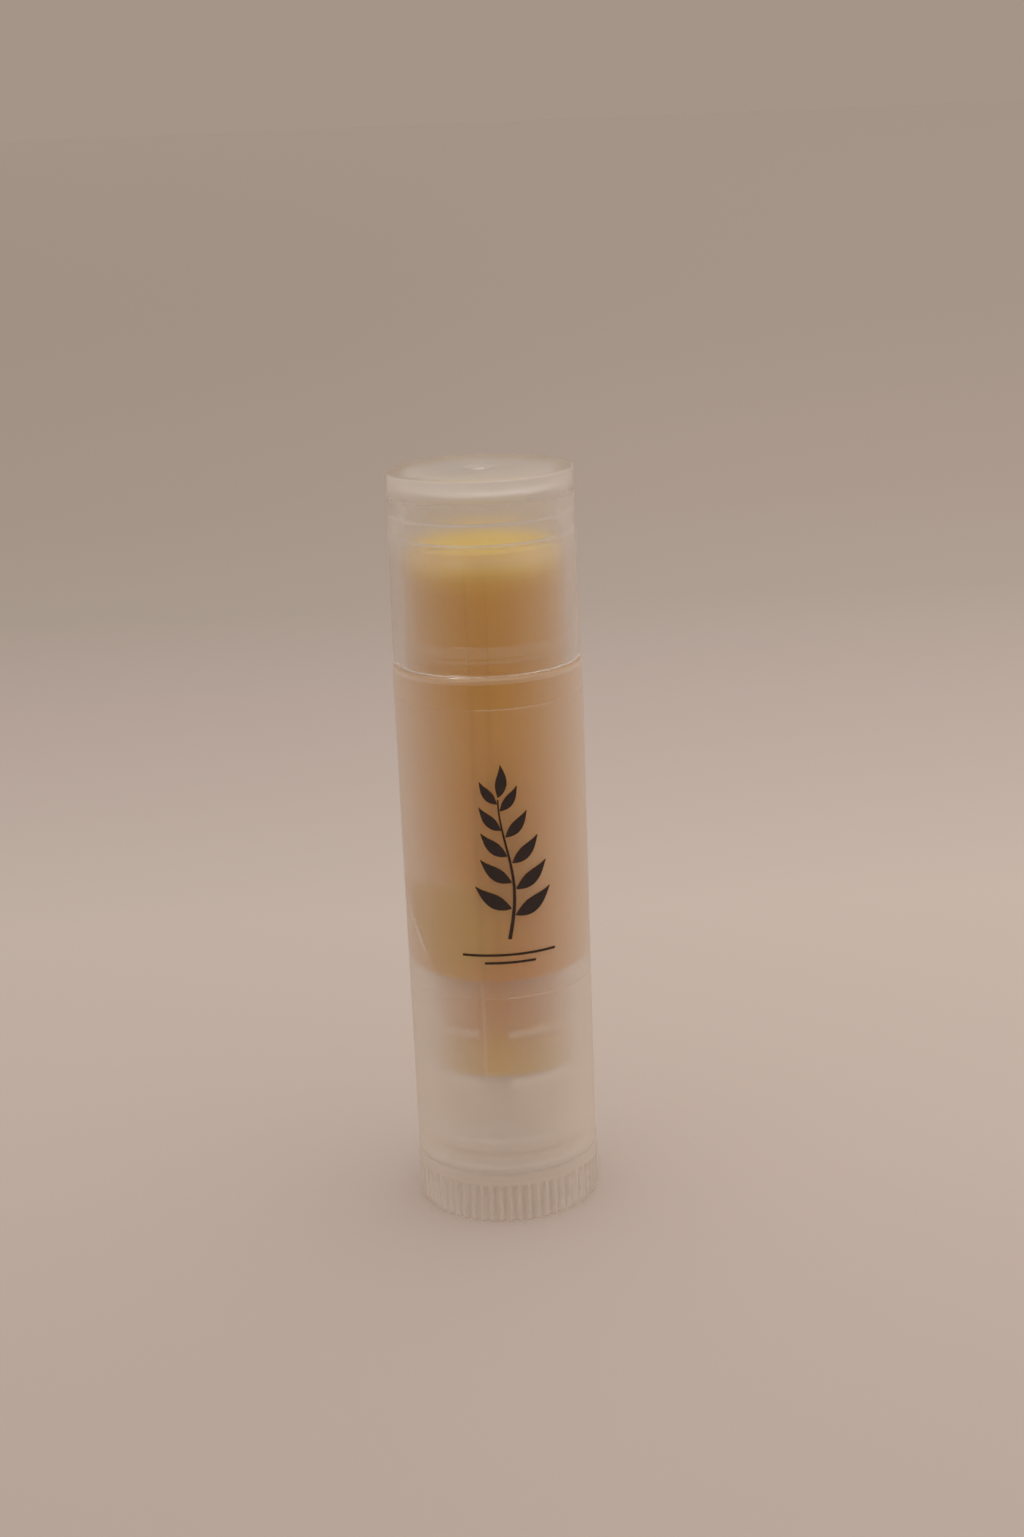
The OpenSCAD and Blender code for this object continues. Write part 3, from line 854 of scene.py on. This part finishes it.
def make_stage():
    """A wide disc of background paper under the stick."""
    floor_metres = 30.0
    bpy.ops.mesh.primitive_circle_add(vertices=96, radius=floor_metres, fill_type="NGON")
    floor = bpy.context.object
    floor.name = "paper_floor"
    floor.data.materials.append(paper_sweep())


def area_light(name, place, target, size, power, colour, lights_matt=True):
    """A soft box at a place in millimetres that faces a target, or a lamp that only shows in gloss."""
    data = bpy.data.lights.new(name, "AREA")
    data.shape = "DISK"
    data.size = size * MM
    data.energy = power
    data.color = colour
    lamp = bpy.data.objects.new(name, data)
    lamp.visible_diffuse = lights_matt
    lamp.visible_transmission = lights_matt
    lamp.location = Vector(place) * MM
    aim = Vector(target) - Vector(place)
    lamp.rotation_euler = aim.to_track_quat("-Z", "Y").to_euler()
    bpy.context.scene.collection.objects.link(lamp)


def make_world():
    """Even studio light, and a taupe backdrop where the camera sees past the paper."""
    world = bpy.data.worlds.new("studio")
    bpy.context.scene.world = world
    world.use_nodes = True
    tree = world.node_tree
    tree.nodes.clear()
    path = add(tree, "ShaderNodeLightPath")
    light = add(tree, "ShaderNodeBackground", {"Color": (1.0, 0.99, 0.98, 1.0), "Strength": 0.87})
    backdrop = add(tree, "ShaderNodeBackground", {"Color": linear("a59488"), "Strength": 1.0})
    # The room behind the camera, which gloss mirrors, is darker than the paper
    room = add(tree, "ShaderNodeBackground", {"Color": linear("75675b"), "Strength": 1.0})
    through = add(tree, "ShaderNodeBackground", {"Color": linear("b8a699"), "Strength": 1.0})
    mirrored = add(tree, "ShaderNodeMixShader", {
        0: path.outputs["Is Glossy Ray"], 1: light.outputs[0], 2: room.outputs[0]})
    passed = add(tree, "ShaderNodeMixShader", {
        0: path.outputs["Is Transmission Ray"], 1: mirrored.outputs[0], 2: through.outputs[0]})
    seen = add(tree, "ShaderNodeMixShader", {
        0: path.outputs["Is Camera Ray"], 1: passed.outputs[0], 2: backdrop.outputs[0]})
    add(tree, "ShaderNodeOutputWorld", {"Surface": seen.outputs[0]})


def make_camera():
    """The photograph's viewpoint: close, a little above, and tilted a touch to the right."""
    place = Vector((0, -188.26, 93.05))
    target = Vector((1.724, 0, 38.91))
    tilt = math.radians(-2.31)
    photo_height = 1537
    focal_pixels = 2276
    sensor = 36.0
    forward = (target - place).normalized()
    right = forward.cross(Vector((0, 0, 1))).normalized()
    up = right.cross(forward)
    right_tilted = right * math.cos(tilt) + up * math.sin(tilt)
    up_tilted = up * math.cos(tilt) - right * math.sin(tilt)
    data = bpy.data.cameras.new("photo camera")
    data.sensor_width = sensor
    data.lens = focal_pixels * sensor / photo_height
    data.clip_start = 0.01
    camera = bpy.data.objects.new("photo camera", data)
    turn = Matrix((right_tilted, up_tilted, -forward)).transposed()
    camera.matrix_world = Matrix.Translation(place * MM) @ turn.to_4x4()
    bpy.context.scene.collection.objects.link(camera)
    bpy.context.scene.camera = camera


make_stage()
make_world()
area_light("key soft box", (170, 60, 470), (0, 0, 30), 650, 0.43, (1.0, 0.98, 0.96))
area_light(
    "small ceiling lamp", (-220, -220, 430), (0, 0, 40), 50, 0.38, (1.0, 0.97, 0.93), lights_matt=False)
make_camera()
bpy.context.scene.view_settings.view_transform = "Standard"

# Light turns many times inside the thick clear walls before it comes out
light_paths = bpy.context.scene.cycles
light_paths.max_bounces = 32
light_paths.glossy_bounces = 24
light_paths.transmission_bounces = 32
light_paths.transparent_max_bounces = 32
